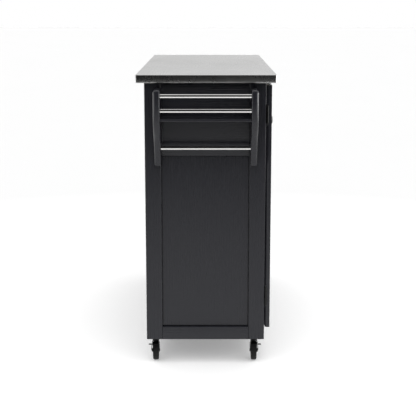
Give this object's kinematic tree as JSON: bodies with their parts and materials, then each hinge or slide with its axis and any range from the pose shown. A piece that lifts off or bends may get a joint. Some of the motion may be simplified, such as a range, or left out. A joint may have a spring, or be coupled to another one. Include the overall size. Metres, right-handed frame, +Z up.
{
  "type": "kitchen island cart",
  "caption": "Rolling kitchen cart: steel-clad worktop on a black panelled cabinet with doors and drawers, an end spice shelf with towel rod, and swivel casters.",
  "frame": {"origin": "on the floor, in the middle of the cart's overall length and depth", "axes": "+X along the cart, away from the end with the rack; -Y is the front with the doors and drawers; +Z up"},
  "size_m": [1.237, 0.434, 0.914],
  "materials": {
    "steel_sheet": "fine brushed stainless sheet, folded over the edges",
    "board_core": "raw particle board",
    "black_paint": "satin black paint over hardwood and board",
    "drawer_wood": "clear lacquered rubberwood",
    "steel_rod": "polished stainless tube",
    "black_metal": "satin black lacquer",
    "hinge_metal": "black coated steel",
    "zinc_steel": "zinc plate on pressed steel",
    "wheel_rubber": "black rubber tread on a black moulded wheel"
  },
  "bodies": {
    "cabinet": {"worktop_skin": "steel_sheet", "worktop_core": "board_core", "left_end_front_stile": "black_paint", "left_end_back_stile": "black_paint", "left_end_top_rail": "black_paint", "left_end_bottom_rail": "black_paint", "left_end_panel": "black_paint", "right_end_front_stile": "black_paint", "right_end_back_stile": "black_paint", "right_end_top_rail": "black_paint", "right_end_bottom_rail": "black_paint", "right_end_panel": "black_paint", "back_panel": "black_paint", "deck": "black_paint", "front_top_rail": "black_paint", "front_bottom_rail": "black_paint", "left_divider": "black_paint", "right_divider": "black_paint", "left_shelf": "black_paint", "right_shelf": "black_paint", "left_upper_hinge_case_leaf": "hinge_metal", "left_lower_hinge_case_leaf": "hinge_metal", "right_upper_hinge_case_leaf": "hinge_metal", "right_lower_hinge_case_leaf": "hinge_metal", "rack_front_arm": "black_paint", "rack_back_arm": "black_paint", "rack_shelf": "black_paint", "rack_rod_upper": "steel_rod", "rack_rod_lower": "steel_rod", "towel_rod": "steel_rod"},
    "left_door": {"left_door": "black_paint", "left_door_knob": "black_metal", "left_upper_hinge_door_leaf": "hinge_metal", "left_lower_hinge_door_leaf": "hinge_metal"},
    "right_door": {"right_door": "black_paint", "right_door_knob": "black_metal", "right_upper_hinge_door_leaf": "hinge_metal", "right_lower_hinge_door_leaf": "hinge_metal"},
    "drawer_1": {"drawer_1_front": "black_paint", "drawer_1_box": "drawer_wood", "drawer_1_knob": "black_metal"},
    "drawer_2": {"drawer_2_front": "black_paint", "drawer_2_box": "drawer_wood", "drawer_2_knob": "black_metal"},
    "drawer_3": {"drawer_3_front": "black_paint", "drawer_3_box": "drawer_wood", "drawer_3_knob": "black_metal"},
    "drawer_4": {"drawer_4_front": "black_paint", "drawer_4_box": "drawer_wood", "drawer_4_knob": "black_metal"},
    "caster_left_front_swivel": {"caster_left_front_yoke": "black_metal"},
    "caster_left_front_wheel": {"caster_left_front_wheel": "wheel_rubber"},
    "caster_left_front_brake": {"caster_left_front_brake_lever": "zinc_steel"},
    "caster_left_back_swivel": {"caster_left_back_yoke": "black_metal"},
    "caster_left_back_wheel": {"caster_left_back_wheel": "wheel_rubber"},
    "caster_left_back_brake": {"caster_left_back_brake_lever": "zinc_steel"},
    "caster_right_front_swivel": {"caster_right_front_yoke": "black_metal"},
    "caster_right_front_wheel": {"caster_right_front_wheel": "wheel_rubber"},
    "caster_right_back_swivel": {"caster_right_back_yoke": "black_metal"},
    "caster_right_back_wheel": {"caster_right_back_wheel": "wheel_rubber"}
  },
  "joints": [
    {"name": "left_door_hinge", "type": "hinge", "parent": "cabinet", "child": "left_door", "pos_m": [-0.522, -0.1825, 0.5085], "axis": [0, 0, -1], "range_deg": [0, 180]},
    {"name": "right_door_hinge", "type": "hinge", "parent": "cabinet", "child": "right_door", "pos_m": [0.594, -0.1825, 0.5085], "axis": [0, 0, 1], "range_deg": [0, 180]},
    {"name": "drawer_1_slide", "type": "slide", "parent": "cabinet", "child": "drawer_1", "axis": [0, -1, 0], "range_m": [0, 0.27]},
    {"name": "drawer_2_slide", "type": "slide", "parent": "cabinet", "child": "drawer_2", "axis": [0, -1, 0], "range_m": [0, 0.27]},
    {"name": "drawer_3_slide", "type": "slide", "parent": "cabinet", "child": "drawer_3", "axis": [0, -1, 0], "range_m": [0, 0.27]},
    {"name": "drawer_4_slide", "type": "slide", "parent": "cabinet", "child": "drawer_4", "axis": [0, -1, 0], "range_m": [0, 0.27]},
    {"name": "caster_left_front_swivel_turn", "type": "hinge", "parent": "cabinet", "child": "caster_left_front_swivel", "pos_m": [-0.492, -0.1475, 0.078], "axis": [0, 0, 1], "continuous": true},
    {"name": "caster_left_front_wheel_spin", "type": "hinge", "parent": "caster_left_front_swivel", "child": "caster_left_front_wheel", "pos_m": [-0.4735, -0.1475, 0.031], "axis": [0, 1, 0], "continuous": true},
    {"name": "caster_left_front_brake_press", "type": "hinge", "parent": "caster_left_front_swivel", "child": "caster_left_front_brake", "pos_m": [-0.4815, -0.1475, 0.057], "axis": [0, -1, 0], "range_deg": [0, 12]},
    {"name": "caster_left_back_swivel_turn", "type": "hinge", "parent": "cabinet", "child": "caster_left_back_swivel", "pos_m": [-0.492, 0.1655, 0.078], "axis": [0, 0, 1], "continuous": true},
    {"name": "caster_left_back_wheel_spin", "type": "hinge", "parent": "caster_left_back_swivel", "child": "caster_left_back_wheel", "pos_m": [-0.4735, 0.1655, 0.031], "axis": [0, 1, 0], "continuous": true},
    {"name": "caster_left_back_brake_press", "type": "hinge", "parent": "caster_left_back_swivel", "child": "caster_left_back_brake", "pos_m": [-0.4815, 0.1655, 0.057], "axis": [0, -1, 0], "range_deg": [0, 12]},
    {"name": "caster_right_front_swivel_turn", "type": "hinge", "parent": "cabinet", "child": "caster_right_front_swivel", "pos_m": [0.564, -0.1475, 0.078], "axis": [0, 0, 1], "continuous": true},
    {"name": "caster_right_front_wheel_spin", "type": "hinge", "parent": "caster_right_front_swivel", "child": "caster_right_front_wheel", "pos_m": [0.5455, -0.1475, 0.031], "axis": [0, 1, 0], "continuous": true},
    {"name": "caster_right_back_swivel_turn", "type": "hinge", "parent": "cabinet", "child": "caster_right_back_swivel", "pos_m": [0.564, 0.1655, 0.078], "axis": [0, 0, 1], "continuous": true},
    {"name": "caster_right_back_wheel_spin", "type": "hinge", "parent": "caster_right_back_swivel", "child": "caster_right_back_wheel", "pos_m": [0.5455, 0.1655, 0.031], "axis": [0, 1, 0], "continuous": true}
  ]
}
